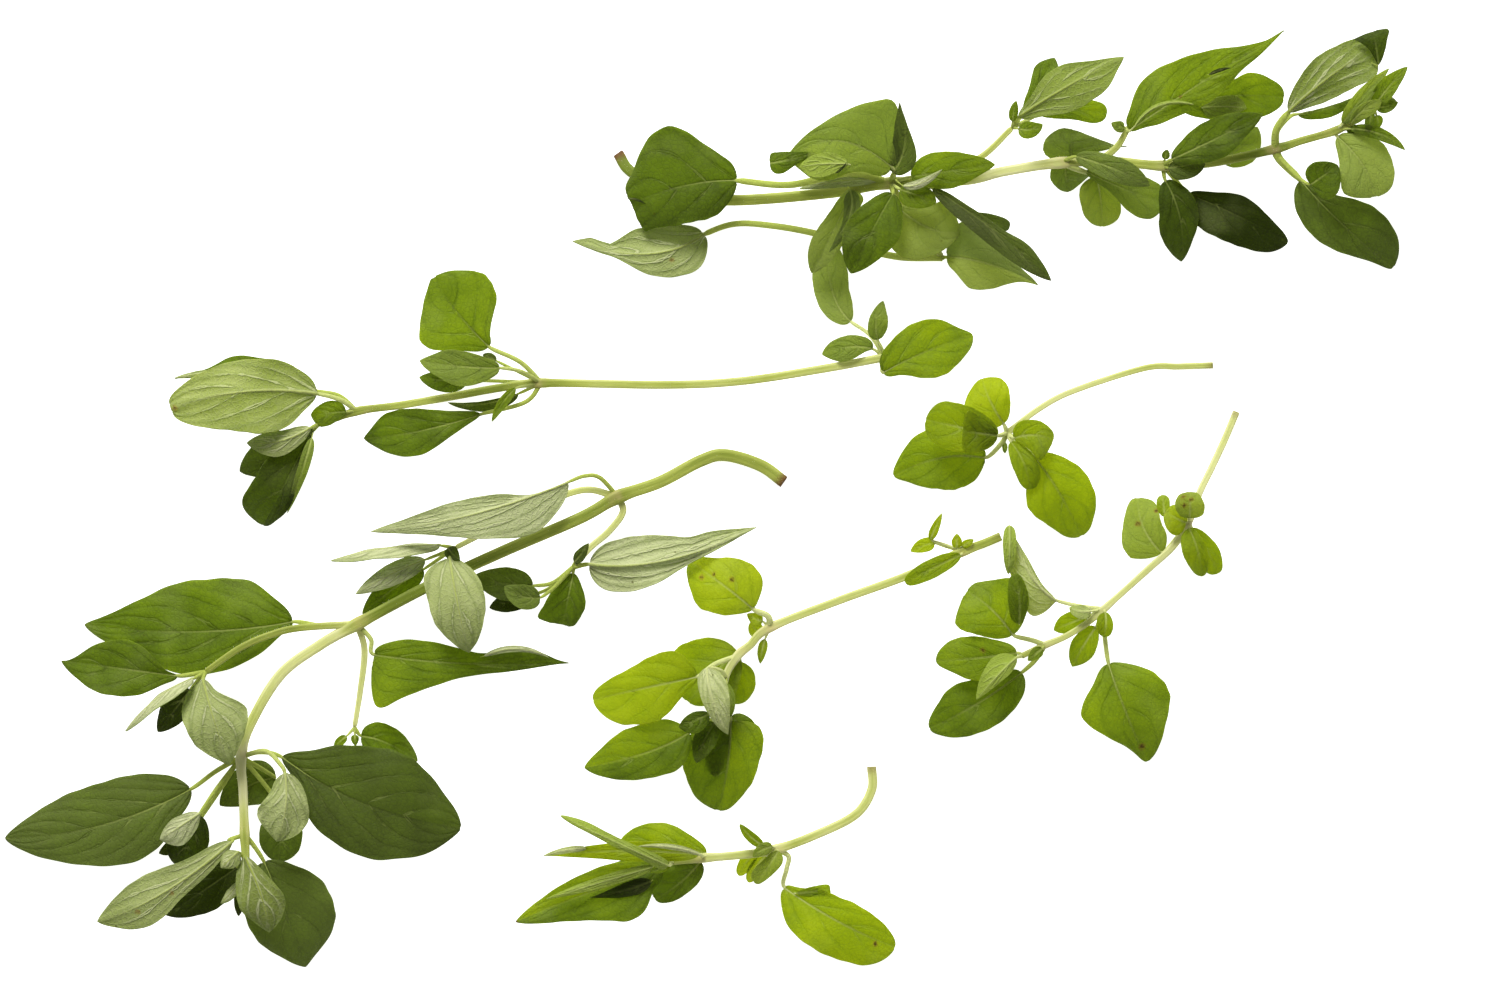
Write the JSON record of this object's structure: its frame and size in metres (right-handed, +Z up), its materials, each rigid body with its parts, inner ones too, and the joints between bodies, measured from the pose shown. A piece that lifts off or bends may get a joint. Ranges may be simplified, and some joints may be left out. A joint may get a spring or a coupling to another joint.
{
  "type": "oregano bunch",
  "caption": "Cut bunch of fresh oregano fanned out flat: loose leafy sprigs with bare stems, ovate leaves in opposite pairs and side shoots.",
  "frame": {"origin": "centre of the bunch's bounding box, on the flat surface that it lies on", "axes": "+X along the spread's longest side, with the cut stems of the small sprigs to +X; +Y across the spread, towards the long sprig; +Z up from the surface"},
  "size_m": [0.2338, 0.1562, 0.0163],
  "materials": {
    "mature_leaf": "soft satin green leaf, paler and veined underneath",
    "young_leaf": "soft satin yellow-green leaf",
    "stem": "pale yellow-green, finely hairy, brown where cut"
  },
  "bodies": {
    "root": {"sprig_broad": "mature_leaf", "sprig_long": "mature_leaf", "sprig_middle": "mature_leaf", "sprig_small_top": "young_leaf", "sprig_small_right": "young_leaf", "sprig_small_centre": "young_leaf", "sprig_small_bottom": "young_leaf"}
  },
  "joints": []
}
